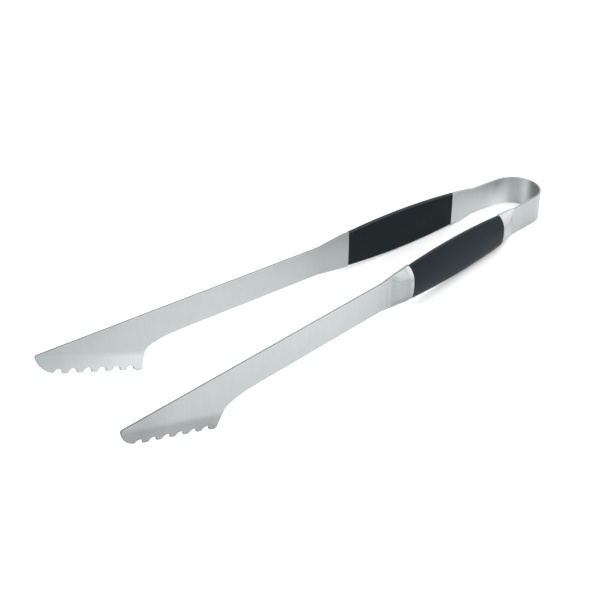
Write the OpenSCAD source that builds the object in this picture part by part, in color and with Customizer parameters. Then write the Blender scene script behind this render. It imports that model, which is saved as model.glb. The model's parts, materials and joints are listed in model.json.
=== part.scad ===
/* [Steel strip] */
// Overall length, from the blade tips to the back of the spring bow
overall_length = 400; // [360:5:440]
// Width of the strip that the blades and the spring bow are cut from
strip_width = 21.5; // [20:0.5:24]
// Thickness of that strip
strip_thickness = 1.5; // [1.2:0.1:1.8]
// Angle between each blade and the centre line, at rest
arm_angle = 4.1; // [3:0.1:5]

/* [Jaws] */
// Downward slope of the crease and of the toothed edge
jaw_slope = 20.6; // [19:0.1:22]
// Height on the tip at which the crease starts
crease_height = 20.7; // [20:0.1:21.2]
// Depth of the toothed flange below its crease
flange_depth = 11; // [10:0.1:12]
// Angle that the flange is bent inward
flange_bend = 12; // [8:1:15]
// Number of scallops cut into the flange
scallop_count = 6; // [4:1:6]
// Distance from one scallop to the next
scallop_pitch = 10.35; // [9.5:0.05:10.5]
// Radius of a scallop
scallop_radius = 3; // [2.5:0.1:3.4]
// Distance along the crease of the first scallop
first_scallop = 17; // [16:0.1:18]
// Radius of the rounded front of a jaw
tip_radius = 17.1; // [16:0.1:18]

/* [Handles] */
// Distance from the tip to the front end of the grips
grip_start = 239; // [236:0.5:242]
// Distance from the tip to the rear end of the grips
grip_end = 337; // [333:0.5:339]
// Distance from the tip to the rear end of the handles
handle_end = 356; // [355:0.5:358]
// Greatest height of a handle, before its inner edges are rounded
handle_height = 32; // [31:0.1:33]
// Greatest depth of a handle, from its flat inner face
handle_depth = 8.2; // [8.1:0.1:9]
// Thickness of the flat inner grips
inner_grip_thickness = 2.2; // [2:0.1:2.3]
// Wall thickness of the domed outer grips
outer_grip_wall = 1.6; // [1.4:0.1:1.6]

/* [Spring bow] */
// Inner radius of the bow
bow_inner_radius = 18; // [16:0.5:20]

/* [Hidden] */
$fn = 96;

// The tongs are drawn flat first: tips at x = 0, +X towards the bow, strip from z = 0 up.
// A side is drawn along its own blade: s from the tip, n outward from the inner face, z up.
t = strip_thickness;
strip_middle = strip_width / 2;
bow_outer_radius = bow_inner_radius + t;
bow_x = overall_length - bow_outer_radius;
half_gap = (bow_x * sin(arm_angle) + bow_inner_radius) / cos(arm_angle);
leg_end = bow_x * cos(arm_angle) + half_gap * sin(arm_angle);

// Jaw: the teeth end on a heel, whose back sweeps up to the lower edge of the strip.
heel_lean = 20;
heel_corner = 2;
heel_radius = 9;
sweep_end = 98.2;
sweep_radius = 80;
sweep_turn = 14.3;
front_turn = 250;
tip_corner = 1.2;
sweep_centre = [sweep_end, -sweep_radius];
heel_centre = sweep_centre + (sweep_radius - heel_radius) * [-sin(sweep_turn), cos(sweep_turn)];
heel_top = heel_centre + heel_radius * [-cos(heel_lean), sin(heel_lean)];
heel_back = [sin(heel_lean), cos(heel_lean)];

// Handle: its outline and its crown are long arcs about these places.
outline_radius = 520;
outline_middle = 286;
crown_radius = 2500;
crown_middle = 292;

// The handle's outline leaves the edges of the strip at this distance from the tip.
widening = outline_middle
  - sqrt(pow(outline_radius, 2) - pow(outline_radius - handle_height / 2 + strip_middle, 2));

// How far the rounded rim of an inner grip reaches in over its flat face.
rim_reach = 3.4;

// Bolsters: a flat ramp climbs from the strip to a domed collar beside the grip.
front_ramp_foot = 221;
front_ramp_top = 234.5;
rear_ramp_top = 341.5;
rear_ramp_foot = 354.5;
ramp_low = t + 0.3;
ramp_high = 6.7;
collar_rise = 1;
side_swell = 1.14;

// Lap joint in the grip: the arm's tongue lies under the bow's, and rivets hold them.
tongue_width = 11;
tongue_step = 0.5;
tongue_ramp = 4;
lap_gap = 0.05;
arm_tongue_n = 2.35;
bow_tongue_n = arm_tongue_n + t + lap_gap;
arm_tongue_end = 312;
bow_tongue_end = 262;
rivet_places = [270, 287, 304];
rivet_radius = 2;
rivet_play = 0.05;
rivet_head_radius = 3;
rivet_head_height = 0.65;
pocket_play = 0.2;

// On a table the tongs lie on both jaw heels and on the back of the bow.
lean = max([for (p = heel_points()) atan2(-p[1], overall_length - p[0] * cos(arm_angle))]);
lift = overall_length / 2 * sin(lean);
front_reach = min([for (p = front_points())
  (p[0] * cos(arm_angle) - overall_length / 2) * cos(lean) + p[1] * sin(lean)]);
back_reach = overall_length / 2 * cos(lean) + strip_width * sin(lean);
centring = -(front_reach + back_reach) / 2;

function arc(centre, radius, from, to, steps) = [
  for (i = [0:steps])
    let (a = from + (to - from) * i / steps)
      [centre[0] + radius * cos(a), centre[1] + radius * sin(a)]
];

// A place u along the crease and v below it, as [distance from the tip, height].
function below_crease(u, v) = [
  u * cos(jaw_slope) - v * sin(jaw_slope),
  crease_height - u * sin(jaw_slope) - v * cos(jaw_slope)
];

// The heel's back is straight and leans forward. It is rounded where it meets the tooth line:
// the rounding's centre is heel_corner away from the back and from the tooth line.
function heel_round_centre() =
  let (start = heel_top - heel_corner * [cos(heel_lean), -sin(heel_lean)],
       down = (crease_height - start[1]) * cos(jaw_slope) - start[0] * sin(jaw_slope),
       rate = cos(heel_lean) * cos(jaw_slope) + sin(heel_lean) * sin(jaw_slope))
    start - (flange_depth - heel_corner - down) / rate * heel_back;
function heel_points() = arc(heel_round_centre(), heel_corner, 270 - jaw_slope, 360 - heel_lean, 8);
function front_points() =
  arc([tip_radius, strip_width], tip_radius, 180 + asin(tip_corner / tip_radius), front_turn, 24);

// Half height of a handle and depth of its crown, at a distance s from the tip.
function half_height(s) = handle_height / 2 - outline_radius
  + sqrt(pow(outline_radius, 2) - pow(s - outline_middle, 2));
function crown(s) = handle_depth - crown_radius
  + sqrt(pow(crown_radius, 2) - pow(s - crown_middle, 2));

// Depth of a bolster along its middle: ramp, then collar.
function ramp(s, foot, top) =
  ramp_low + (ramp_high - ramp_low) * max(0, min(1, (s - foot) / (top - foot)));
function front_depth(s) = s > front_ramp_top ? crown(s) : ramp(s, front_ramp_foot, front_ramp_top);
function rear_depth(s) = s < rear_ramp_top ? crown(s) : ramp(s, rear_ramp_foot, rear_ramp_top);

// Half-oval section as [depth, height] points, about an axis at a depth of base. It begins at
// a depth of foot and is cut off flat at a depth of flat.
function dome(base, foot, half, top, flat, steps) = [
  for (i = [0:steps])
    let (a = acos((foot - base) / (top - base)) * (2 * i / steps - 1))
      [min(flat, base + (top - base) * cos(a)), strip_middle + half * sin(a)]
];

// Section of an inner grip: it carries on from the half oval of the outer grip, and its rim is
// rounded towards the flat inner face.
function slab(half, top, thickness, steps) =
  let (side = sqrt(1 - pow(thickness / top, 2)),
       corner = half * side + half * pow(thickness / top, 2) / side,
       rim = [for (i = [0:steps]) let (k = i / steps, j = 1 - k)
         [thickness * j * j, half * side * j * j + 2 * corner * j * k + (corner - rim_reach) * k * k]])
    concat(
      [for (p = rim) [p[0], strip_middle + p[1]]],
      [for (i = [steps:-1:0]) [rim[i][0], strip_middle - rim[i][1]]]
    );

function between(from, to, steps) = [for (k = [0:steps]) from + (to - from) * k / steps];

// Solid through a row of sections with the same number of points.
module loft(places, sections) {
  count = len(sections[0]);
  last = len(sections) - 1;
  points = [for (k = [0:last]) for (p = sections[k]) [places[k], p[0], p[1]]];
  sides = [
    for (k = [0:last - 1]) for (i = [0:count - 1])
      let (a = k * count + i, b = k * count + (i + 1) % count)
        each [[a, a + count, b], [b, a + count, b + count]]
  ];
  near_end = [for (i = [0:count - 1]) i];
  far_end = [for (i = [count - 1:-1:0]) last * count + i];
  polyhedron(points, concat(sides, [near_end], [far_end]), convexity = 4);
}

// Thickens a shape drawn as [distance from the tip, height] into strip.
module plate() {
  translate([0, t, 0])
    rotate([90, 0, 0])
      linear_extrude(t) children();
}

// Extrudes a shape drawn as [distance from the tip, depth] across part of the handle's height.
module across(width) {
  translate([0, 0, strip_middle - width / 2])
    linear_extrude(width) children();
}

// Widened outline of the handle between two distances from the tip.
module handle_outline(from, to) {
  places = between(from, to, 6);
  polygon(concat(
    [for (s = places) [s, strip_middle + half_height(s)]],
    [for (i = [len(places) - 1:-1:0]) [places[i], strip_middle - half_height(places[i])]]
  ));
}

// Outline of a blade seen square on, with its jaw and the seat of the front bolster.
module blade_outline() {
  handle_outline(widening - 1, grip_start);
  difference() {
    polygon(concat(
      [[widening + 1, strip_width], [tip_corner, strip_width]],
      front_points(),
      [below_crease(first_scallop, flange_depth)],
      heel_points(),
      arc(heel_centre, heel_radius, 180 - heel_lean, 90 + sweep_turn, 8),
      arc(sweep_centre, sweep_radius, 90 + sweep_turn, 90, 8),
      [[widening + 1, 0]]
    ));
    for (i = [0:scallop_count - 1])
      translate(below_crease(first_scallop + i * scallop_pitch, flange_depth))
        circle(scallop_radius, $fn = 48);
  }
}

// Sheet folded along the crease, far larger than a blade: level above it, bent inward below.
module folded_sheet() {
  reach = overall_length;
  down = 2 * flange_depth * [cos(flange_bend), -sin(flange_bend)];
  through = t * [sin(flange_bend), cos(flange_bend)];
  translate([0, 0, crease_height])
    rotate([0, 90 + jaw_slope, 0])
      linear_extrude(2 * reach, center = true) polygon([
        [-reach, 0], [0, 0], down, down + through, [t * tan(flange_bend / 2), t], [-reach, t]
      ]);
}

module rivet_holes() {
  for (s = rivet_places)
    translate([s, -t, strip_middle])
      rotate([-90, 0, 0])
        cylinder(r = rivet_radius + rivet_play, h = 2 * handle_depth, $fn = 48);
}

// Profile of a tongue that steps outward from a plate's end at from, towards direction.
module tongue(from, to, depth, direction) {
  difference() {
    across(tongue_width) polygon([
      [from - direction, tongue_step], [from, tongue_step],
      [from + direction * tongue_ramp, depth], [to, depth], [to, depth + t],
      [from + direction * tongue_ramp * 0.85, depth + t], [from, t], [from - direction, t]
    ]);
    rivet_holes();
  }
}

// Blade with its jaw, the seat of the front bolster, and the tongue in the grip.
module arm() {
  color("silver") {
    intersection() {
      folded_sheet();
      translate([0, 2 * t, 0])
        rotate([90, 0, 0])
          linear_extrude(2 * t + flange_depth) blade_outline();
    }
    tongue(grip_start, arm_tongue_end, arm_tongue_n, 1);
  }
}

// Leg of the bow, the seat of the rear bolster, and the tongue in the grip.
module bow_leg() {
  plate() {
    translate([handle_end - 1, 0]) square([leg_end - handle_end + 1, strip_width]);
    handle_outline(grip_end, handle_end);
  }
  tongue(grip_end, bow_tongue_end, bow_tongue_n, -1);
}

module spring_bow() {
  turn = 180 - 2 * arm_angle;
  color("lightsteelblue") laid() {
    translate([bow_x, 0, 0])
      rotate([0, 0, -turn / 2])
        rotate_extrude(angle = turn, $fn = 180)
          translate([bow_inner_radius, 0]) square([t, strip_width]);
    along_blade() bow_leg();
    mirror([0, 1, 0]) along_blade() bow_leg();
  }
}

// The ramp of a bolster is as wide as the sheet at its foot; its collar has the grips' section.
module front_bolster() {
  places = concat(between(front_ramp_foot - 3, front_ramp_top, 5),
                  between(front_ramp_top + collar_rise, grip_start, 2));
  color("gainsboro") loft(places, [for (s = places) let (depth = front_depth(s))
    dome(s > front_ramp_top ? 0 : t, t, half_height(s), min(crown(s), side_swell * depth), depth, 20)]);
}

module rear_bolster() {
  places = concat(between(grip_end, rear_ramp_top - collar_rise, 2),
                  between(rear_ramp_top, handle_end, 5));
  color("gainsboro") loft(places, [for (s = places) let (depth = rear_depth(s))
    dome(s < rear_ramp_top ? 0 : t, t, half_height(s), min(crown(s), side_swell * depth), depth, 20)]);
}

// Domed outer grip, hollow over the riveted tongues and open at both ends.
module outer_grip() {
  overrun = 1;
  outside = between(grip_start, grip_end, 8);
  hollow = between(grip_start - overrun, grip_end + overrun, 8);
  seam = inner_grip_thickness;
  color("darkslategray") difference() {
    loft(outside, [for (s = outside) dome(0, seam, half_height(s), crown(s), handle_depth, 20)]);
    loft(hollow, [for (s = hollow)
      dome(0, seam - overrun, half_height(s) - outer_grip_wall, crown(s) - outer_grip_wall,
           handle_depth, 14)]);
  }
}

// Flat inner grip, hollowed for the feet of the tongues and for the rivet heads.
module inner_grip() {
  places = between(grip_start, grip_end, 8);
  color("dimgray") difference() {
    loft(places, [for (s = places) slab(half_height(s), crown(s), inner_grip_thickness, 6)]);
    tongue_pocket(grip_start, arm_tongue_n, 1);
    tongue_pocket(grip_end, bow_tongue_n, -1);
    for (s = rivet_places)
      translate([s, arm_tongue_n - rivet_head_height - pocket_play / 2, strip_middle])
        rotate([-90, 0, 0])
          cylinder(r = rivet_head_radius + pocket_play, h = handle_depth, $fn = 48);
  }
}

module tongue_pocket(from, depth, direction) {
  across(tongue_width + 2 * pocket_play) polygon([
    [from - direction, tongue_step - 0.1], [from, tongue_step - 0.1],
    [from + direction * tongue_ramp, depth - 0.1],
    [from + direction * tongue_ramp, handle_depth], [from - direction, handle_depth]
  ]);
}

module rivets() {
  low = arm_tongue_n - rivet_head_height;
  high = bow_tongue_n + t;
  color("gray")
    for (s = rivet_places)
      translate([s, low, strip_middle])
        rotate([-90, 0, 0]) {
          cylinder(r = rivet_radius, h = high - low + rivet_head_height, $fn = 48);
          cylinder(r = rivet_head_radius, h = rivet_head_height, $fn = 48);
          translate([0, 0, high - low])
            cylinder(r = rivet_head_radius, h = rivet_head_height, $fn = 48);
        }
}

// From the side's own axes to the flat drawing, and from there to the table.
module along_blade() {
  translate([0, half_gap, 0]) rotate([0, 0, -arm_angle]) children();
}

module laid() {
  translate([centring, 0, lift])
    rotate([0, lean, 0])
      translate([-overall_length / 2, 0, 0]) children();
}

module left() {
  laid() along_blade() children();
}

module right() {
  laid() mirror([0, 1, 0]) along_blade() children();
}

spring_bow();
left() arm();  // left_arm
left() front_bolster();  // left_front_bolster
left() rear_bolster();  // left_rear_bolster
left() outer_grip();  // left_outer_grip
left() inner_grip();  // left_inner_grip
left() rivets();  // left_rivets
right() arm();  // right_arm
right() front_bolster();  // right_front_bolster
right() rear_bolster();  // right_rear_bolster
right() outer_grip();  // right_outer_grip
right() inner_grip();  // right_inner_grip
right() rivets();  // right_rivets
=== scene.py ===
import json
import math

import bpy
import numpy as np
from mathutils import Matrix, Vector
from mathutils.geometry import delaunay_2d_cdt


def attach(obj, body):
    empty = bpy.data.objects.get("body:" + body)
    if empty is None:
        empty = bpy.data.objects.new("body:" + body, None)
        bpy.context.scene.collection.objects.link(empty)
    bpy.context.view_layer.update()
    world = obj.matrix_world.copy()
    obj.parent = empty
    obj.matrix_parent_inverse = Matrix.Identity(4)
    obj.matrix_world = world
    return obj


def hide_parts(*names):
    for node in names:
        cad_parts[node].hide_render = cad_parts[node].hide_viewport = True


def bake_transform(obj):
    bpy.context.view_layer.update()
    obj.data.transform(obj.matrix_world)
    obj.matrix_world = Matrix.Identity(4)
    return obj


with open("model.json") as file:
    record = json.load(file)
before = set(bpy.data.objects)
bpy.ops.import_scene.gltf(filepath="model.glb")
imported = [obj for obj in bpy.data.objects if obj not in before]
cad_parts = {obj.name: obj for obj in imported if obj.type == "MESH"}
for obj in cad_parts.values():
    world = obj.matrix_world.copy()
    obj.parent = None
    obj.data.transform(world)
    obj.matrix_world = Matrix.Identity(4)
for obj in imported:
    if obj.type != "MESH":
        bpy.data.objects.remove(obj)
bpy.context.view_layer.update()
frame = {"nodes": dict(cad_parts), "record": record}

MM = 0.001

# The tongs' own sizes, in millimetres, as in the CAD source. A side is made along its own blade:
# s from the tip, n outward from the inner face, z up from the strip's lower edge.
STRIP = 21.5
MIDDLE = STRIP / 2
THICK = 1.5
ARM_ANGLE = math.radians(4.1)
BOW_X = 380.5
BOW_RADIUS = 18.0
HALF_GAP = (BOW_X * math.sin(ARM_ANGLE) + BOW_RADIUS) / math.cos(ARM_ANGLE)
LEG_END = BOW_X * math.cos(ARM_ANGLE) + HALF_GAP * math.sin(ARM_ANGLE)
QUARTER = math.pi / 2 - ARM_ANGLE
BOW_END = LEG_END + BOW_RADIUS * QUARTER

JAW_SLOPE = math.radians(20.6)
CREASE = 20.7
FLANGE = 11.0
BEND = math.radians(12)
BEND_HALF_WIDTH = 2.2
SCALLOPS, PITCH, SCALLOP_RADIUS, FIRST_SCALLOP = 6, 10.35, 3.0, 17.0
FIRST_SCALLOP_START = 23.0  # degrees, where the first scallop leaves the rounded front
FRONT_RADIUS, FRONT_ARC = 17.1, (184.0, 243.0)
HEEL_LEAN = 20.0
HEEL_CORNER = 2.0
HEEL_RADIUS = 9.0
SWEEP_END, SWEEP_RADIUS, SWEEP_TURN = 98.2, 80.0, 14.3

GRIP_START, GRIP_END, HANDLE_END = 239.0, 337.0, 356.0
HANDLE_HEIGHT, HANDLE_DEPTH = 32.0, 8.2
HANDLE_MIDDLE, OUTLINE_RADIUS = 286.0, 520.0
CROWN_MIDDLE, CROWN_RADIUS = 292.0, 2500.0
INNER_GRIP = 2.2
GRIP_WALL = 1.6
RIM_REACH = 3.4
SEAM_GAP = 0.03  # each grip stops this far short of its neighbours
TONGUE = 11.0
ARM_TONGUE_N, BOW_TONGUE_N = 2.35, 3.9
ARM_TONGUE_END, BOW_TONGUE_END = 312.0, 262.0
RIVETS = (270.0, 287.0, 304.0)
RIVET_HOLE = 2.05

# A tongue steps outward just inside the grip's end, then slopes up to its own depth.
TONGUE_STEP, STEP_REACH = 0.4, 0.05
TONGUE_SLOPE = (0.3, 4.5)
TONGUE_CUTS = (-STEP_REACH, 2 * STEP_REACH, *np.linspace(*TONGUE_SLOPE, 7))

# How far the rounding of an outline's corner reaches, and the rounding of the strip's edges.
TIP_REACH, TOOTH_REACH, FIRST_TOOTH_REACH = 1.5, 1.2, 0.9
SEAT_REACH, LEG_REACH, TONGUE_REACH = 1.6, 1.1, 2.0
EDGE = 0.28

# The bolsters: foot on the blade or leg, ramp, then the collar next to the grip.
FOOT_RISE = 0.03
FRONT_FOOT, FRONT_RAMP, FRONT_SLOPE = 217.5, 222.4, 0.43
REAR_RAMP, REAR_SLOPE = 355.4, 0.36
COLLAR, COLLAR_DEPTH = 235.0, 7.2
COLLAR_DOME = 0.6  # how far a collar's section goes towards the grips' half oval
BEADS, BEAD_HEIGHT, BEAD_WIDTH = (COLLAR, 236.7), 0.2, 0.34
COLLAR_ROUNDING, ROUNDING_REACH = 0.22, 0.4
CREASE_FALL = 5.6  # over this distance the crease beside a ramp moves most of its way in
SHOULDER_SLOPE = 0.45  # share of a straight slope in the shoulder's fall; the rest is round

# The fine groove between the grips: how far in the dome's foot is rolled, and over what depth.
GROOVE, GROOVE_REACH = 0.014, 0.35

SIDES = {"left": 1, "right": -1}

# Where the flat drawing lies on the table: the bow's circle and its axis are in the record.
rail = next(m for m in frame["record"]["mounts"] if m["name"] == "rail_seat")
UP = Vector(rail["axis"]).normalized()
AHEAD = Vector((0, 1, 0)).cross(UP).normalized()
TABLE = np.array(Matrix((AHEAD, (0, 1, 0), UP)))  # rows: flat axes seen from the frame
BOW_CENTRE = np.array(rail["pos_m"])


def turned(vectors, side):
    """Side axes (s, n, z) to the row frame, without the shift."""
    s, n, z = np.asarray(vectors, float).reshape(-1, 3).T
    c, d = math.cos(ARM_ANGLE), math.sin(ARM_ANGLE)
    return np.stack([s * c + n * d, side * (n * c - s * d), z], 1) @ TABLE


def placed(points, side):
    """Points in millimetres in the side's axes to metres in the row frame."""
    flat_shift = np.array([-BOW_X, side * HALF_GAP, -MIDDLE]) @ TABLE
    return BOW_CENTRE + (turned(points, side) + flat_shift) * MM


def half_height(s):
    """Half the handle's height at a distance from the tip."""
    return HANDLE_HEIGHT / 2 - OUTLINE_RADIUS + math.sqrt(OUTLINE_RADIUS**2 - (s - HANDLE_MIDDLE) ** 2)


def crown(s):
    """The dome's full depth at a distance from the tip."""
    return HANDLE_DEPTH - CROWN_RADIUS + math.sqrt(CROWN_RADIUS**2 - (s - CROWN_MIDDLE) ** 2)


def smooth(x, low, high):
    """Rises from 0 at low to 1 at high."""
    x = min(1.0, max(0.0, (x - low) / (high - low)))
    return x * x * (3 - 2 * x)


def soft_min(a, b, width):
    """The smaller value, with a rounded change-over."""
    h = min(1.0, max(0.0, 0.5 + 0.5 * (b - a) / width))
    return b + (a - b) * h - width * h * (1 - h)


def soft_max(a, b, width):
    """The larger value, with a rounded change-over."""
    return -soft_min(-a, -b, width)


# ------------------------------------------------------------ outlines
def arc(centre, radius, start, end, steps):
    angles = np.radians(np.linspace(start, end, steps + 1))
    return [(centre[0] + radius * math.cos(a), centre[1] + radius * math.sin(a)) for a in angles]


def below_crease(u, v):
    """A place u along the crease and v below it, as (s, z)."""
    c, d = math.cos(JAW_SLOPE), math.sin(JAW_SLOPE)
    return (u * c - v * d, CREASE - u * d - v * c)


def to_crease(s, z):
    """The inverse of below_crease: (u, v) of a place (s, z)."""
    c, d = math.cos(JAW_SLOPE), math.sin(JAW_SLOPE)
    return (s * c + (CREASE - z) * d, (CREASE - z) * c - s * d)


def softened(points, corners, steps=7):
    """Rounds a closed outline at its corners: corners maps an index to how far the rounding reaches."""
    pts = np.array(points, float)
    count = len(pts)
    skip, starts = set(), {}
    for i, reach in corners.items():
        ends = []
        for direction in (-1, 1):
            k, left = i, reach
            while True:
                a, b = pts[k % count], pts[(k + direction) % count]
                step = np.linalg.norm(b - a)
                if step >= left:
                    ends.append(a + (b - a) * left / step)
                    break
                left -= step
                k += direction
                skip.add(k % count)
        skip.add(i)
        t = np.linspace(0, 1, steps + 1)[:, None]
        starts[i] = ends[0] * (1 - t) ** 2 + 2 * pts[i] * t * (1 - t) + ends[1] * t**2
    out = []
    for i in range(count):
        if i in starts:
            out += [tuple(p) for p in starts[i]]
        elif i not in skip:
            out.append(tuple(pts[i]))
    return out


def handle_edge(start, end, steps, side):
    """The handle's lower (-1) or upper (1) edge as (s, z)."""
    return [(s, MIDDLE + side * half_height(s)) for s in np.linspace(start, end, steps + 1)]


def blade_outline():
    """Blade, jaw and bolster seat with the tongue, counter-clockwise as (s, z)."""
    points, corners = [(0.0, STRIP)], {0: TIP_REACH}
    points += arc((FRONT_RADIUS, STRIP), FRONT_RADIUS, *FRONT_ARC, 26)
    for i in range(SCALLOPS):
        u = FIRST_SCALLOP + i * PITCH
        corners[len(points)] = TOOTH_REACH if i else FIRST_TOOTH_REACH
        points += [
            below_crease(u - SCALLOP_RADIUS * math.cos(a), FLANGE - SCALLOP_RADIUS * math.sin(a))
            for a in np.radians(np.linspace(0.0 if i else FIRST_SCALLOP_START, 180, 19))
        ]
        corners[len(points) - 1] = TOOTH_REACH
    sweep_centre = np.array([SWEEP_END, -SWEEP_RADIUS])
    turn, lean = math.radians(SWEEP_TURN), math.radians(HEEL_LEAN)
    heel_centre = sweep_centre + (SWEEP_RADIUS - HEEL_RADIUS) * np.array([-math.sin(turn), math.cos(turn)])
    heel_top = heel_centre + HEEL_RADIUS * np.array([-math.cos(lean), math.sin(lean)])
    start = heel_top - HEEL_CORNER * np.array([math.cos(lean), -math.sin(lean)])
    drop = FLANGE - HEEL_CORNER - to_crease(*start)[1]
    rate = math.cos(lean) * math.cos(JAW_SLOPE) + math.sin(lean) * math.sin(JAW_SLOPE)
    corner = start - drop / rate * np.array([math.sin(lean), math.cos(lean)])
    points += arc(corner, HEEL_CORNER, 270 - math.degrees(JAW_SLOPE), 360 - HEEL_LEAN, 8)
    points += arc(heel_centre, HEEL_RADIUS, 180 - HEEL_LEAN, 90 + SWEEP_TURN, 12)
    points += arc(sweep_centre, SWEEP_RADIUS, 90 + SWEEP_TURN, 90, 10)[1:]
    # The handle's outline leaves the strip's edges at widening.
    level = OUTLINE_RADIUS - HANDLE_HEIGHT / 2 + MIDDLE
    widening = HANDLE_MIDDLE - math.sqrt(OUTLINE_RADIUS**2 - level**2)
    corners[len(points)] = SEAT_REACH
    points.append((widening, 0.0))
    points += handle_edge(widening + 2, GRIP_START, 14, -1)
    points.append((GRIP_START, MIDDLE - TONGUE / 2))
    for side in (-1, 1):
        corners[len(points)] = TONGUE_REACH
        points.append((ARM_TONGUE_END, MIDDLE + side * TONGUE / 2))
    points.append((GRIP_START, MIDDLE + TONGUE / 2))
    points += handle_edge(widening + 2, GRIP_START, 14, 1)[::-1]
    corners[len(points)] = SEAT_REACH
    points.append((widening, STRIP))
    return softened(points, corners)


def bow_outline():
    """Tongue, seat, leg and half of the arc, laid flat, counter-clockwise as (s, z)."""
    low, high = MIDDLE - TONGUE / 2, MIDDLE + TONGUE / 2
    points, corners = [(BOW_TONGUE_END, low), (GRIP_END, low)], {0: TONGUE_REACH}
    points += handle_edge(GRIP_END, HANDLE_END, 12, -1)
    corners[len(points) - 1] = LEG_REACH
    points += [(HANDLE_END, 0.0), (BOW_END, 0.0), (BOW_END, STRIP), (HANDLE_END, STRIP)]
    corners[len(points)] = LEG_REACH
    points += handle_edge(GRIP_END, HANDLE_END, 12, 1)[::-1]
    points.append((GRIP_END, high))
    corners[len(points)] = TONGUE_REACH
    points.append((BOW_TONGUE_END, high))
    return softened(points, corners)


# ------------------------------------------------------------ meshes
def with_cuts(outline, cuts, near=0.15):
    """Adds a point wherever a cut line (normal, offset) crosses the outline, and pairs those points up.
    An outline point nearer than near to a cut is moved onto it."""
    pts = [np.array(p) for p in outline]
    for normal, offset in cuts:
        out = []
        for i in range(len(pts)):
            k = (i + 1) % len(pts)
            a, b = pts[i], pts[k]
            out.append(a)
            da, db = a @ normal - offset, b @ normal - offset
            if da * db < 0 and min(abs(da), abs(db)) > 1e-4:
                crossing = a + (b - a) * da / (da - db)
                if np.linalg.norm(crossing - a) < near:
                    out[-1] = crossing
                elif np.linalg.norm(crossing - b) < near:
                    pts[k] = crossing
                    if k == 0:
                        out[0] = crossing
                else:
                    out.append(crossing)
        pts = out
    pts = np.array(pts)
    ties = []
    for normal, offset in cuts:
        along = np.array([-normal[1], normal[0]])
        on = [i for i in range(len(pts)) if abs(pts[i] @ normal - offset) < 2e-4]
        on.sort(key=lambda i: pts[i] @ along)
        for i, k in zip(on, on[1:]):
            if inside((pts[i] + pts[k]) / 2, pts):
                ties.append((i, k))
    return pts, ties


def inside(point, loop):
    """Whether a point lies inside a closed loop."""
    x, y = loop[:, 0] - point[0], loop[:, 1] - point[1]
    x2, y2 = np.roll(x, -1), np.roll(y, -1)
    crosses = (y > 0) != (y2 > 0)
    at = x + (x2 - x) * y / np.where(crosses, y - y2, 1)
    return bool(np.count_nonzero(crosses & (at > 0)) % 2)


def clear_of(points, tie, edges):
    """Whether the segment between two points crosses none of the edges that don't share an end with it."""
    a, b = points[tie[0]], points[tie[1]]
    free = np.array([e for e in edges if tie[0] not in e and tie[1] not in e])
    c, d = points[free[:, 0]], points[free[:, 1]]

    def turn(p, q, r):
        ahead, aside = q - p, r - p
        return ahead[..., 0] * aside[..., 1] - ahead[..., 1] * aside[..., 0]

    return not np.any((turn(a, b, c) * turn(a, b, d) <= 0) & (turn(c, d, a) * turn(c, d, b) <= 0))


def outward(loop, flush=None):
    """Unit outward direction and mitre factor at each point of a counter-clockwise loop. An end at
    s = flush stays where it is along s, so that it meets its mirror image there."""
    ahead = np.roll(loop, -1, 0) - loop
    ahead /= np.linalg.norm(ahead, axis=1)[:, None]
    sideways = np.stack([ahead[:, 1], -ahead[:, 0]], 1)
    mean = sideways + np.roll(sideways, 1, 0)
    mean /= np.linalg.norm(mean, axis=1)[:, None]
    mitre = 1 / np.maximum(0.5, (mean * sideways).sum(1))
    if flush is not None:
        for i in np.nonzero(np.abs(loop[:, 0] - flush) < 1e-6)[0]:
            mean[i], mitre[i] = (0, -1 if loop[i, 1] < MIDDLE else 1), 1
    return mean, mitre


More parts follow.
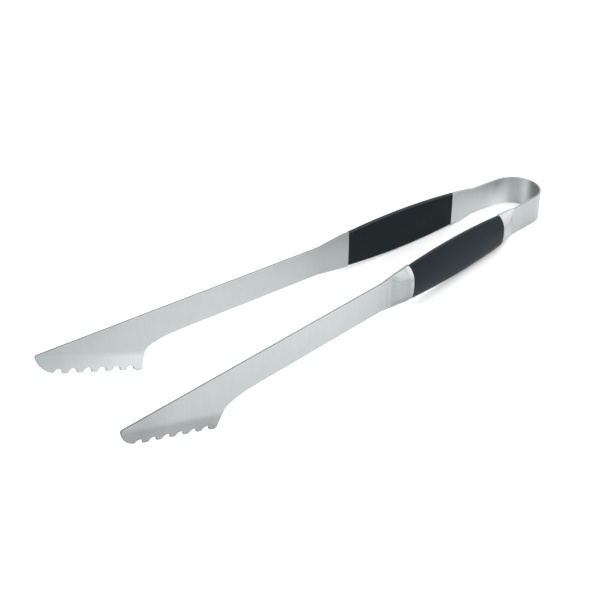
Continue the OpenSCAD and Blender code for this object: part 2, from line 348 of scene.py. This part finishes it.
def plate(outline, cuts, holes, shape, flush=None, rounding=EDGE, steps=3):
    """Strip cut to an outline, with rounded edges, then bent by shape(points, normals). Returns points,
    faces, normals and the unbent points."""
    loop, ties = with_cuts(outline, cuts)
    loops = [loop] + [np.array(h) for h in holes]
    quarter = np.radians(np.linspace(0, 90, steps + 1))
    levels = [(rounding * (1 - math.sin(a)), rounding * (1 - math.cos(a)), math.sin(a), -math.cos(a))
              for a in quarter]
    levels += [(i, THICK - n, a, -b) for i, n, a, b in reversed(levels)]
    verts, normals, faces, first = [], [], [], []
    for points in loops:
        out, mitre = outward(points, flush)
        first.append(len(verts))
        count = len(points)
        for inset, n, a, b in levels:
            at = points - out * (mitre * inset)[:, None]
            verts += [(p[0], n, p[1]) for p in at]
            normals += [(o[0] * a, b, o[1] * a) for o in out]
        for j in range(len(levels) - 1):
            row, above = first[-1] + j * count, first[-1] + (j + 1) * count
            for i in range(count):
                k = (i + 1) % count
                faces.append((row + i, above + i, above + k, row + k))
    # The two flat faces, as triangles that follow the cuts. low and high are the points' places in verts.
    flat, low, high, edges, rims = [], [], [], [], []
    for start, points in zip(first, loops):
        base, count = len(flat), len(points)
        flat += [(verts[start + i][0], verts[start + i][2]) for i in range(count)]
        low += [start + i for i in range(count)]
        high += [start + i + (len(levels) - 1) * count for i in range(count)]
        edges += [(base + i, base + (i + 1) % count) for i in range(count)]
        rims.append(np.array(flat[base:]))
    edges += [tie for tie in ties if clear_of(np.array(flat), tie, edges)]
    made = delaunay_2d_cdt([Vector(p) for p in flat], edges, [], 0, 1e-7)
    if len(made[0]) != len(flat):
        raise ValueError("the outline crosses itself")
    for tri in made[2]:
        a, b, c = (np.array(flat[i]) for i in tri)
        centre = (a + b + c) / 3
        doubled = (b - a)[0] * (c - a)[1] - (b - a)[1] * (c - a)[0]  # twice the area, with its turn's sign
        if abs(doubled) < 1e-9 or not inside(centre, rims[0]) or any(inside(centre, r) for r in rims[1:]):
            continue
        if doubled < 0:
            tri = tri[::-1]
        faces.append(tuple(low[i] for i in tri))
        faces.append(tuple(high[i] for i in reversed(tri)))
    grain = np.array(verts)
    verts, normals = shape(grain, np.array(normals))
    return verts, faces, normals, grain


def tongue_rise(inward, depth):
    """How far a tongue has moved outward at a distance inside the grip: a sharp step, then a slope."""
    step = TONGUE_STEP * smooth(inward, -STEP_REACH, 2 * STEP_REACH)
    return step + (depth - TONGUE_STEP) * smooth(inward, *TONGUE_SLOPE)


def blade_shape(points, normals):
    """Folds the flange inward along the crease, and steps the tongue outward."""
    points, normals = points.copy(), normals.copy()
    c, d = math.cos(JAW_SLOPE), math.sin(JAW_SLOPE)
    u, v = to_crease(points[:, 0], points[:, 2])
    n = points[:, 1]
    w = BEND_HALF_WIDTH
    radius = 2 * w / BEND
    turn = np.clip((v + w) / (2 * w), 0, 1) * BEND
    past = np.maximum(v - w, 0)
    flat_v = np.minimum(v, -w)
    in_bend = (v > -w).astype(float)
    new_v = flat_v + in_bend * (radius * np.sin(turn) + n * np.sin(turn) + past * np.cos(turn))
    new_n = n * np.cos(turn) - in_bend * (radius * (1 - np.cos(turn)) + past * np.sin(turn))
    # The flange keeps the depth that it has in the outline.
    stretch = np.where(v > w, (v - w) * (1 / math.cos(BEND) - 1), 0)
    new_v += stretch * np.cos(turn)
    new_n -= stretch * np.sin(turn)
    points[:, 0] = u * c - new_v * d
    points[:, 2] = CREASE - u * d - new_v * c
    points[:, 1] = new_n
    nv = -normals[:, 0] * d - normals[:, 2] * c
    nu = normals[:, 0] * c - normals[:, 2] * d
    nn = normals[:, 1]
    nv, nn = nv * np.cos(turn) + nn * np.sin(turn), nn * np.cos(turn) - nv * np.sin(turn)
    normals = np.stack([nu * c - nv * d, nn, -nu * d - nv * c], 1)
    points[:, 1] += [tongue_rise(s - GRIP_START, ARM_TONGUE_N) for s in points[:, 0]]
    return points, normals


def bow_shape(points, normals):
    """Rolls the leg's end round the bow, and steps the tongue outward."""
    points, normals = points.copy(), normals.copy()
    s, n, z = points.T
    turn = np.maximum(s - LEG_END, 0) / BOW_RADIUS
    straight = np.minimum(s, LEG_END)
    c, d = np.cos(turn), np.sin(turn)
    rise = np.array([tongue_rise(GRIP_END - x, BOW_TONGUE_N) for x in s])
    points = np.stack([straight + (BOW_RADIUS + n) * d,
                       -BOW_RADIUS + (BOW_RADIUS + n) * c + rise, z], 1)
    ns, nn, nz = normals.T
    normals = np.stack([ns * c + nn * d, nn * c - ns * d, nz], 1)
    return points, normals


def hole(s):
    """A rivet's hole through a tongue, clockwise."""
    return arc((s, MIDDLE), RIVET_HOLE, 0, -337.5, 15)


def make(name, side, body, material, verts, faces, normals=None, grain=None, sharp=None):
    """A mesh piece from side axes in millimetres. Its grain attribute keeps the unbent s, n, z."""
    mesh = bpy.data.meshes.new(name)
    if side < 0:
        faces = [f[::-1] for f in faces]
    mesh.from_pydata(placed(verts, side).tolist(), [], [list(map(int, f)) for f in faces])
    mesh.update()
    mesh.polygons.foreach_set("use_smooth", [True] * len(mesh.polygons))
    if sharp is not None:
        mesh.set_sharp_from_angle(angle=math.radians(sharp))
    if normals is not None:
        world = turned(normals, side)
        world /= np.linalg.norm(world, axis=1)[:, None]
        mesh.normals_split_custom_set_from_vertices(world.tolist())
    kept = mesh.attributes.new("grain", "FLOAT_VECTOR", "POINT")
    kept.data.foreach_set("vector", np.asarray(verts if grain is None else grain, np.float32).ravel())
    mesh.materials.append(material)
    piece = bpy.data.objects.new(name, mesh)
    bpy.context.scene.collection.objects.link(piece)
    if body:
        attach(piece, body)
    return piece


def loft(places, sections, closed_ends=True):
    """Solid through closed sections of (n, z) points, counter-clockwise seen from the tip."""
    count = len(sections[0])
    verts = [(s, p[0], p[1]) for s, section in zip(places, sections) for p in section]
    faces = []
    for k in range(len(sections) - 1):
        a, b = k * count, (k + 1) * count
        for i in range(count):
            j = (i + 1) % count
            faces.append((a + i, b + i, b + j, a + j))
    if closed_ends:
        last = (len(sections) - 1) * count
        faces.append(tuple(range(count)))
        faces.append(tuple(range(last + count - 1, last - 1, -1)))
    return np.array(verts, float), faces


DOME_STEPS = np.linspace(-1, 1, 57)


def dome_profile(foot, half, top):
    """Half-oval profile as (n, z) from a depth of foot, from the lower side over the crown to the upper."""
    angles = math.acos(foot / top) * DOME_STEPS
    return [(top * math.cos(a), MIDDLE + half * math.sin(a)) for a in angles]


def crease_share(distance):
    """How far out the crease between a ramp and its shoulder lies, from 1 at the foot towards 0.5."""
    return 0.5 + 0.48 * math.exp(-((max(distance, 0) / CREASE_FALL) ** 1.3))


def bolster_profile(half, depth, share, dome):
    """Flat middle, then a shoulder that falls away beyond the crease; dome mixes in the grips' section."""
    out = []
    reach = math.sqrt(1 - (THICK / depth) ** 2)
    width = half * (1 - dome * (1 - reach))
    for a in DOME_STEPS * math.pi / 2:
        x = math.sin(a)
        y = (abs(x) - share) / (1 - share)
        round_fall = math.sqrt(max(0.0, 1 - max(y, 0) ** 2))
        fall = SHOULDER_SLOPE * (1 - y) + (1 - SHOULDER_SLOPE) * round_fall
        flat = soft_min(1.0, fall, 0.05)
        if abs(x) > 0.9999:
            flat = 0.0  # the profile's ends lie on the strip
        n = THICK + (depth - THICK) * flat
        n_dome = depth * math.sqrt(max(0.0, 1 - (reach * x) ** 2))
        out.append((n + (n_dome - n) * dome, MIDDLE + width * x))
    return out


def front_depth(s):
    """Depth of the front bolster: foot, ramp, collar and the two beads that edge the collar."""
    ramp = 1.75 + FRONT_SLOPE * (s - FRONT_RAMP)
    foot = THICK + FOOT_RISE + 0.22 * smooth(s, FRONT_FOOT, 220.0)
    collar = COLLAR_DEPTH + (crown(GRIP_START) - COLLAR_DEPTH) * (s - COLLAR) / (GRIP_START - COLLAR)
    sloped = soft_max(foot, ramp, 0.9)
    beads = sum(BEAD_HEIGHT * math.exp(-(((s - at) / BEAD_WIDTH) ** 2)) for at in BEADS)
    return sloped + (collar - sloped) * smooth(s, COLLAR - 1, COLLAR + 0.2) + beads


def rear_depth(s):
    """Depth of the rear bolster: a ramp from the grip's crown down to the foot on the leg."""
    ramp = 1.6 + REAR_SLOPE * (REAR_RAMP - s)
    foot = THICK + FOOT_RISE + 0.2 * smooth(-s, -355.9, -355.0)
    return soft_min(soft_max(foot, ramp, 0.5), crown(s), 0.9)


def front_dome(s):
    """How far the front bolster's section has turned into the grips' half oval."""
    return COLLAR_DOME * smooth(s, COLLAR - 2, GRIP_START - 0.2)


def rear_dome(s):
    """The same for the rear bolster."""
    return COLLAR_DOME * smooth(-s, -GRIP_END - 6, -GRIP_END - 0.2)


# ------------------------------------------------------------ materials
def nodes_of(name):
    """A new material, its nodes and its links."""
    material = bpy.data.materials.new(name)
    material.use_nodes = True
    return material, material.node_tree.nodes, material.node_tree.links


def maths(nodes, links, operation, a, b):
    node = nodes.new("ShaderNodeMath")
    node.operation = operation
    for socket, value in zip(node.inputs, (a, b)):
        if isinstance(value, (int, float)):
            socket.default_value = value
        else:
            links.new(value, socket)
    return node.outputs[0]


def noise(nodes, links, where, scale, stretch=(1, 1, 1), detail=3.0, roughness=0.5):
    """Noise at a place in millimetres; a larger stretch makes it finer along that axis."""
    mapping = nodes.new("ShaderNodeMapping")
    mapping.inputs["Scale"].default_value = stretch
    links.new(where, mapping.inputs["Vector"])
    node = nodes.new("ShaderNodeTexNoise")
    node.inputs["Scale"].default_value = scale
    node.inputs["Detail"].default_value = detail
    node.inputs["Roughness"].default_value = roughness
    links.new(mapping.outputs[0], node.inputs["Vector"])
    return node.outputs["Fac"]


def ranged(nodes, links, value, low, high, to_low, to_high):
    node = nodes.new("ShaderNodeMapRange")
    links.new(value, node.inputs["Value"])
    for key, number in zip(("From Min", "From Max", "To Min", "To Max"), (low, high, to_low, to_high)):
        node.inputs[key].default_value = number
    return node.outputs["Result"]


def ramp_of(nodes, links, value, stops):
    """Colour from a value, through stops of (value, colour)."""
    node = nodes.new("ShaderNodeValToRGB")
    links.new(value, node.inputs["Fac"])
    elements = node.color_ramp.elements
    for i, (at, colour) in enumerate(stops):
        element = elements[i] if i < 2 else elements.new(at)
        element.position, element.color = at, (*colour, 1)
    return node.outputs["Color"]


def grain_of(nodes):
    """The unbent place (s, n, z) that make() keeps on each piece."""
    node = nodes.new("ShaderNodeAttribute")
    node.attribute_type, node.attribute_name = "GEOMETRY", "grain"
    return node.outputs["Vector"]


def painted_light_by_facing(nodes, links, stops):
    """Painted light and shade: a factor from how far a surface faces up (1) or down (0), upright faces
    at 0.5, standing in for the light that falls on it. A stop's tint is one factor, or one each for red,
    green and blue."""
    place = nodes.new("ShaderNodeNewGeometry")
    split = nodes.new("ShaderNodeSeparateXYZ")
    links.new(place.outputs["Normal"], split.inputs[0])
    level = ranged(nodes, links, split.outputs["Z"], -1, 1, 0, 1)
    tints = [(at, v if isinstance(v, tuple) else (v, v, v)) for at, v in stops]
    return ramp_of(nodes, links, level, tints)


def times(nodes, links, colour, factor):
    node = nodes.new("ShaderNodeMix")
    node.data_type, node.blend_type = "RGBA", "MULTIPLY"
    node.inputs["Factor"].default_value = 1.0
    links.new(colour, node.inputs[6])
    links.new(factor, node.inputs[7])
    return node.outputs[2]


def painted_light_along(nodes, links, where, stops, length=500.0):
    """Painted light and shade along the strip, standing in for reflection bands: stops are (distance from
    the tip, factor).
    """
    split = nodes.new("ShaderNodeSeparateXYZ")
    links.new(where, split.inputs[0])
    level = ranged(nodes, links, split.outputs["X"], 0, length, 0, 1)
    tones = ramp_of(nodes, links, level, [(s / length, (v / 2, v / 2, v / 2)) for s, v in stops])
    doubled = nodes.new("ShaderNodeMix")
    doubled.data_type, doubled.blend_type = "RGBA", "ADD"
    doubled.inputs["Factor"].default_value = 1.0
    links.new(tones, doubled.inputs[6])
    links.new(tones, doubled.inputs[7])
    return doubled.outputs[2]


def painted_edge_shade(nodes, links, where, tone):
    """Painted shade on the strip's cut edges, which lie between its two faces."""
    split = nodes.new("ShaderNodeSeparateXYZ")
    links.new(where, split.inputs[0])
    depth = split.outputs["Y"]
    nearest = maths(nodes, links, "MINIMUM", depth, maths(nodes, links, "SUBTRACT", THICK, depth))
    return ranged(nodes, links, nearest, 0.01, 0.11, 1.0, tone)


BRUSH_DEPTH, GRAIN_DEPTH = 0.00004, 0.00003  # metres


def steel(name, dark, light, rough, lines, brush=(6.0, 1.0, 0.12), painted_facing_light=(), along=(), inner=(), edges=1.0):
    """Brushed stainless steel. The brushing runs across the strip; brush stretches its pattern. Its tone
    is painted light and shade: by facing, along the strip (along), along its inner face (inner) and darker
    on its cut edges (edges)."""
    material, nodes, links = nodes_of(name)
    shader = nodes["Principled BSDF"]
    shader.inputs["Metallic"].default_value = 1.0
    where = grain_of(nodes)
    fine = noise(nodes, links, where, 1.6, brush, 4.0, 0.65)
    broad = noise(nodes, links, where, 0.35, (brush[0] * 0.4, 1, 0.3), 2.0)
    cloud = noise(nodes, links, where, 0.05, (1, 1, 1), 3.0)
    tone = maths(nodes, links, "ADD", maths(nodes, links, "MULTIPLY", fine, 0.45),
                 maths(nodes, links, "MULTIPLY", broad, 0.3))
    tone = maths(nodes, links, "ADD", tone, maths(nodes, links, "MULTIPLY", cloud, 0.25))
    colour = ramp_of(nodes, links, tone, [(0.3, dark), (0.7, light)])
    # painted light and shade by how far each surface faces up
    if painted_facing_light:
        colour = times(nodes, links, colour, painted_light_by_facing(nodes, links, painted_facing_light))
    # painted reflection bands along the strip, with their own stops on the inner face
    if along:
        tone = painted_light_along(nodes, links, where, along)
        if inner:
            split = nodes.new("ShaderNodeSeparateXYZ")
            links.new(where, split.inputs[0])
            mix = nodes.new("ShaderNodeMix")
            mix.data_type = "RGBA"
            links.new(ranged(nodes, links, split.outputs["Y"], 0.2, 0.5, 0, 1), mix.inputs["Factor"])
            links.new(painted_light_along(nodes, links, where, inner), mix.inputs[6])
            links.new(tone, mix.inputs[7])
            tone = mix.outputs[2]
        colour = times(nodes, links, colour, tone)
    # painted shade on the strip's cut edges
    if edges < 1:
        colour = times(nodes, links, colour, painted_edge_shade(nodes, links, where, edges))
    links.new(colour, shader.inputs["Base Color"])
    grit = maths(nodes, links, "ADD", maths(nodes, links, "MULTIPLY", fine, 0.5),
                 maths(nodes, links, "MULTIPLY", cloud, 0.5))
    links.new(ranged(nodes, links, grit, 0.3, 0.7, rough - 0.05, rough + 0.07),
              shader.inputs["Roughness"])
    bump = nodes.new("ShaderNodeBump")
    bump.inputs["Strength"].default_value = lines
    bump.inputs["Distance"].default_value = BRUSH_DEPTH
    links.new(maths(nodes, links, "ADD", fine, maths(nodes, links, "MULTIPLY", broad, 0.5)),
              bump.inputs["Height"])
    links.new(bump.outputs["Normal"], shader.inputs["Normal"])
    return material


def plastic(name, dark, light, rough, painted_facing_light=()):
    """Moulded black plastic with a fine satin grain and faint handling marks, and painted light and shade
    by how far a surface faces up.
    """
    material, nodes, links = nodes_of(name)
    shader = nodes["Principled BSDF"]
    shader.inputs["Specular IOR Level"].default_value = 0.09
    where = grain_of(nodes)
    grain = noise(nodes, links, where, 2.6, (1, 1, 1), 2.0, 0.6)
    marks = noise(nodes, links, where, 0.06, (0.5, 1, 1), 4.0, 0.6)
    colour = ramp_of(nodes, links, marks, [(0.35, dark), (0.7, light)])
    # painted light and shade by how far each surface faces up
    if painted_facing_light:
        colour = times(nodes, links, colour, painted_light_by_facing(nodes, links, painted_facing_light))
    links.new(colour, shader.inputs["Base Color"])
    grit = maths(nodes, links, "ADD", maths(nodes, links, "MULTIPLY", grain, 0.4),
                 maths(nodes, links, "MULTIPLY", marks, 0.6))
    links.new(ranged(nodes, links, grit, 0.3, 0.7, rough - 0.05, rough + 0.07),
              shader.inputs["Roughness"])
    bump = nodes.new("ShaderNodeBump")
    bump.inputs["Strength"].default_value = 0.35
    bump.inputs["Distance"].default_value = GRAIN_DEPTH
    links.new(grain, bump.inputs["Height"])
    links.new(bump.outputs["Normal"], shader.inputs["Normal"])
    return material


# Painted light and shade, standing in for the light that falls on the tongs. The tables by facing are (how
# far up a surface faces, factor); the tables along the strip, for its outer and inner face, are (distance
# from the tip, factor) and paint reflection bands.
SHEET_PAINTED_LIGHT_BY_FACING = ((0.0, 0.55), (0.37, 0.62), (0.41, 0.78), (0.48, 0.98), (0.52, 1.02), (0.6, 1.3),
               (0.68, 1.1), (0.85, 1.9))
SPRING_PAINTED_LIGHT_BY_FACING = ((0.0, 0.62), (0.3, 0.8), (0.47, 1.0), (0.53, 1.0), (0.7, 0.9), (0.85, 0.76))
SHEET_PAINTED_ALONG = ((0, 0.71), (13, 0.72), (22, 0.78), (32, 0.87), (45, 0.92), (60, 0.95), (150, 1.05),
              (200, 1.02), (239, 0.92))
SHEET_INNER_PAINTED_ALONG = ((0, 0.74), (12, 0.8), (22, 0.9), (40, 0.95), (60, 1.02), (100, 1.06), (130, 1.09),
               (150, 1.08), (170, 1.05), (200, 1.0), (213, 0.92), (239, 0.94))
SPRING_PAINTED_ALONG = ((340, 0.96), (385, 0.96), (410, 0.93), (447, 0.91), (458, 0.96), (480, 0.97))
SPRING_INNER_PAINTED_ALONG = ((341, 1.24), (371, 1.38), (384, 1.82), (391, 1.66), (395, 1.14), (401, 0.96), (404, 1.22),
                (406.5, 1.38), (409, 1.0), (412, 0.62), (418, 0.66), (428, 0.85), (440, 1.0), (480, 1.1))
BOLSTER_PAINTED_LIGHT_BY_FACING = ((0.0, 0.88), (0.42, 0.93), (0.48, 1.0), (0.53, 1.02), (0.55, 0.82), (0.57, 1.0),
                 (0.6, 1.0), (0.7, 1.04), (0.8, 1.1))
BOLSTER_PAINTED_ALONG = ((217.5, 0.84), (219.3, 0.84), (220.3, 0.92), (221.3, 0.88), (222.8, 0.71), (225, 0.72),
                (228, 0.75), (232, 0.72), (234.5, 0.66), (235.6, 0.68), (236.4, 0.84), (237.2, 0.82),
                (239, 0.92), (337, 0.78), (345, 0.86), (351, 0.98), (356, 0.98))
BLADE_STEEL = steel("brushed_blade_steel", (0.37, 0.39, 0.39), (0.43, 0.45, 0.45), 0.30, 0.3,
                    painted_facing_light=SHEET_PAINTED_LIGHT_BY_FACING, along=SHEET_PAINTED_ALONG, inner=SHEET_INNER_PAINTED_ALONG, edges=0.28)
SPRING_STEEL = steel("brushed_spring_steel", (0.36, 0.38, 0.377), (0.42, 0.44, 0.437), 0.38, 0.3,
                     painted_facing_light=SPRING_PAINTED_LIGHT_BY_FACING, along=SPRING_PAINTED_ALONG, inner=SPRING_INNER_PAINTED_ALONG)
BOLSTER_STEEL = steel("satin_bolster_steel", (0.40, 0.42, 0.42), (0.45, 0.47, 0.47), 0.24, 0.25,
                      (5.0, 2.0, 0.3), painted_facing_light=BOLSTER_PAINTED_LIGHT_BY_FACING, along=BOLSTER_PAINTED_ALONG)
RIVET_STEEL = steel("rivet_steel", (0.5, 0.5, 0.5), (0.6, 0.6, 0.6), 0.3, 0.2, (1, 1, 1))
SHELL_COLOURS = ((0.0034, 0.0080, 0.0116), (0.0049, 0.0107, 0.0157))
PAD_COLOURS = ((0.0030, 0.0077, 0.0091), (0.0043, 0.0103, 0.0126))
# Painted shade on the grips' downward faces; the pad's upward faces get a strong painted highlight.
GRIP_PAINTED_LIGHT_BY_FACING = ((0.0, 0.6), (0.4, 0.75), (0.5, 1.0), (1.0, 1.0))
PAD_PAINTED_LIGHT_BY_FACING = ((0.0, 0.7), (0.5, 1.0), (0.56, 1.0), (0.66, (7.5, 3.9, 3.3)), (0.85, (8.0, 4.2, 3.5)),
             (1.0, (5.0, 3.0, 2.6)))
GRIP_PLASTIC = plastic("satin_black_plastic", *SHELL_COLOURS, 0.42, painted_facing_light=GRIP_PAINTED_LIGHT_BY_FACING)
# the pad's plastic carries a painted highlight on its upward faces
PAD_PLASTIC = plastic("pad_plastic_with_painted_highlight", *PAD_COLOURS, 0.42, painted_facing_light=PAD_PAINTED_LIGHT_BY_FACING)


# ------------------------------------------------------------ the pieces
ACROSS = np.array([1.0, 0.0])


def blade(side_name):
    """Blade and jaw, cut along the bend of the flange and across the plain stretch."""
    down = np.array([-math.sin(JAW_SLOPE), -math.cos(JAW_SLOPE)])
    crease = down @ np.array([0, CREASE])
    cuts = [(down, crease + v) for v in np.linspace(-BEND_HALF_WIDTH, BEND_HALF_WIDTH, 9)]
    cuts += [(ACROSS, s) for s in (110.0, 130.0, 150.0, 170.0, 190.0, 205.0, 216.0, 225.0)]
    cuts += [(ACROSS, GRIP_START + x) for x in TONGUE_CUTS]
    verts, faces, normals, grain = plate(blade_outline(), cuts, [hole(s) for s in RIVETS], blade_shape)
    piece = make(f"{side_name}_blade", SIDES[side_name], f"{side_name}_side", BLADE_STEEL,
                 verts, faces, normals, grain)
    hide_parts(f"{side_name}_arm")


def bow_half(side_name):
    """Half of the spring bow. The right half's grain runs on from the left's."""
    side = SIDES[side_name]
    cuts = [(ACROSS, GRIP_END - x) for x in reversed(TONGUE_CUTS)]
    cuts += [(ACROSS, s) for s in (342.0, 348.0, 361.0, 368.0, 375.0)]
    cuts += [(ACROSS, s) for s in np.linspace(LEG_END, BOW_END, 73)[:-1]]
    verts, faces, normals, grain = plate(bow_outline(), cuts, [hole(s) for s in RIVETS], bow_shape, BOW_END)
    if side < 0:
        grain[:, 0] = 2 * BOW_END - grain[:, 0]
    piece = make(f"{side_name}_bow_half", side, None, SPRING_STEEL,
                 verts, faces, normals, grain)
    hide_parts("spring_bow")
    middle = (THICK / 2, MIDDLE)
    ends = bow_shape(np.array([[BOW_END, *middle], [LEG_END, *middle]]), np.zeros((2, 3)))[0]
    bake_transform(piece)


def shrunk(profile, by, base):
    """A profile drawn in by a small amount, for a rounded end."""
    top = max(p[0] for p in profile)
    half = max(p[1] for p in profile) - MIDDLE
    return [(base + (p[0] - base) * (top - base - by) / (top - base),
             MIDDLE + (p[1] - MIDDLE) * (half - by) / half) for p in profile]


def bolster(side_name, which):
    """Front or rear bolster, with sections set close where its depth changes fast."""
    if which == "front":
        places = [*np.linspace(FRONT_FOOT, 218.5, 7), *np.linspace(218.9, 233.7, 34),
                  *np.linspace(234.0, 237.4, 30), *np.linspace(237.7, GRIP_START - 0.4, 5),
                  GRIP_START - 0.2, GRIP_START - 0.05]
        depths, domes, feet = front_depth, front_dome, np.array(places) - 218
    else:
        places = [GRIP_END + 0.05, GRIP_END + 0.2, *np.linspace(GRIP_END + 0.4, 354.8, 46),
                  *np.linspace(355.0, 355.95, 7)]
        depths, domes, feet = rear_depth, rear_dome, HANDLE_END - np.array(places)
    sections = []
    for s, foot in zip(places, feet):
        profile = bolster_profile(half_height(s) - 0.05, depths(s), crease_share(foot), domes(s))
        gap = min(abs(s - GRIP_START), abs(s - GRIP_END))
        if gap < ROUNDING_REACH:
            by = COLLAR_ROUNDING * (1 - smooth(gap, 0.0, ROUNDING_REACH))
            profile = shrunk(profile, by, THICK)
        sections.append(profile[::-1])
    verts, faces = loft(places, sections)
    piece = make(f"{side_name}_{which}_bolster_casting", SIDES[side_name], f"{side_name}_side",
                 BOLSTER_STEEL, verts, faces, sharp=50)
    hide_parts(f"{side_name}_{which}_bolster")


def grip_places():
    """Where the grips' sections lie, close together at the rounded ends."""
    ends = [0.0, 0.05, 0.15, 0.3, 0.5]
    middle = np.linspace(GRIP_START + 1, GRIP_END - 1, 80)
    return [*(GRIP_START + SEAM_GAP + e for e in ends), *middle,
            *(GRIP_END - SEAM_GAP - e for e in ends[::-1])]


def end_round(s, radius=0.45):
    """How much a grip is drawn in at s, for its rounded ends."""
    gap = min(s - GRIP_START, GRIP_END - s) - SEAM_GAP
    return radius - math.sqrt(max(0.0, radius**2 - max(0.0, radius - gap) ** 2))


def outer_grip(side_name):
    """Domed shell, hollow, open towards the inner grip."""
    seam = INNER_GRIP + SEAM_GAP
    places = grip_places()
    sections = []
    for s in places:
        half, top = half_height(s), crown(s)
        outer = dome_profile(seam, half, top)
        by = end_round(s)
        outer = shrunk(outer, by, seam) if by > 0 else outer
        # roll the dome's foot in a little, so that the seam shows as a fine groove
        outer = [(n, MIDDLE + (z - MIDDLE) * (1 - GROOVE * (1 - smooth(n, seam, seam + GROOVE_REACH))))
                 for n, z in outer]
        inner = dome_profile(seam, half - GRIP_WALL, top - GRIP_WALL)[::-1]
        sections.append((outer + inner)[::-1])
    count, half_count = len(sections[0]), len(DOME_STEPS)
    verts, faces = loft(places, sections, closed_ends=False)
    last = (len(places) - 1) * count
    for i in range(half_count - 1):
        k = count - 1 - i
        faces.append((i, i + 1, k - 1, k))
        faces.append((last + i, last + k, last + k - 1, last + i + 1))
    piece = make(f"{side_name}_grip_shell", SIDES[side_name], f"{side_name}_side",
                 GRIP_PLASTIC, verts, faces, sharp=50)
    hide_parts(f"{side_name}_outer_grip")


def inner_grip(side_name):
    """Flat pad with a rounded rim, on the inner side of the handle."""
    seam = INNER_GRIP - SEAM_GAP
    places = grip_places()
    sections = []
    for s in places:
        by = end_round(s)
        half, top, low = half_height(s) - by, crown(s), by * 0.6
        reach = math.sqrt(1 - (seam / top) ** 2)
        edge, corner = half * reach, half * reach + half * (seam / top) ** 2 / reach
        rim = []
        for k in np.linspace(0.08, 1, 14):
            j = 1 - k
            rim.append((low + (seam - low) * j * j,
                        edge * j * j + 2 * corner * j * k + (corner - RIM_REACH) * k * k))
        lip = [(seam, edge - 0.22), (seam - 0.08, edge - 0.06), (seam - 0.2, edge + 0.02)]
        upper = lip + rim
        section = [(n, MIDDLE + z) for n, z in upper] + [(n, MIDDLE - z) for n, z in reversed(upper)]
        sections.append(section[::-1])
    verts, faces = loft(places, sections)
    piece = make(f"{side_name}_grip_pad", SIDES[side_name], f"{side_name}_side",
                 PAD_PLASTIC, verts, faces, sharp=50)
    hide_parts(f"{side_name}_inner_grip")


for side_name in SIDES:
    blade(side_name)
    bow_half(side_name)
    bolster(side_name, "front")
    bolster(side_name, "rear")
    outer_grip(side_name)
    inner_grip(side_name)
    rivets = frame["nodes"][f"{side_name}_rivets"]
    rivets.data.materials.clear()
    rivets.data.materials.append(RIVET_STEEL)


# ------------------------------------------------------------ camera, floor and light
def aimed(obj, towards, roll):
    direction = Vector(towards) - obj.location
    turn = direction.to_track_quat("-Z", "Y").to_matrix().to_4x4()
    obj.matrix_world = Matrix.Translation(obj.location) @ turn @ Matrix.Rotation(math.radians(roll), 4, "Z")


AZIMUTH, ELEVATION, ROLL = -39.294, 34.978, -2.611
AIM, DISTANCE, LENS = (-0.02842, 0.00375, 0.020), 0.77252, 70.497
a, e = math.radians(AZIMUTH), math.radians(ELEVATION)
back = Vector((math.sin(a) * math.cos(e), -math.cos(a) * math.cos(e), math.sin(e)))
camera = bpy.data.objects.new("camera", bpy.data.cameras.new("camera"))
bpy.context.scene.collection.objects.link(camera)
camera.data.lens, camera.data.sensor_width = LENS, 36
camera.data.clip_start, camera.data.clip_end = 0.01, 20
camera.location = Vector(AIM) + back * DISTANCE
aimed(camera, AIM, ROLL)
bpy.context.scene.camera = camera

FLOOR_DROP = 0.0003  # keeps the floor clear of the edges that lie on it
bpy.ops.mesh.primitive_plane_add(size=12, location=(0, 0, -FLOOR_DROP))
floor = bpy.context.object
floor.name = "floor"
material, nodes, links = nodes_of("pale_floor")
nodes["Principled BSDF"].inputs["Base Color"].default_value = (0.93, 0.93, 0.93, 1)
nodes["Principled BSDF"].inputs["Roughness"].default_value = 0.9
nodes["Principled BSDF"].inputs["Specular IOR Level"].default_value = 0.1
floor.data.materials.append(material)

world = bpy.context.scene.world or bpy.data.worlds.new("studio")
bpy.context.scene.world = world
world.use_nodes = True
nodes, links = world.node_tree.nodes, world.node_tree.links
where = nodes.new("ShaderNodeTexCoord").outputs["Generated"]
split = nodes.new("ShaderNodeSeparateXYZ")
links.new(where, split.inputs[0])
# A white tent: brightest over the front, with a darker backdrop behind the tongs.
front = ranged(nodes, links, split.outputs["Y"], -0.75, 0.75, 1.0, 0.0)
tent = ramp_of(nodes, links, front, [(0.1, (0.72, 0.74, 0.74)), (0.55, (1.0, 1.0, 1.0)),
                                     (0.8, (1.02, 1.02, 1.04))])
links.new(tent, nodes["Background"].inputs["Color"])
nodes["Background"].inputs["Strength"].default_value = 1.95
bpy.context.scene.view_settings.view_transform = "Standard"
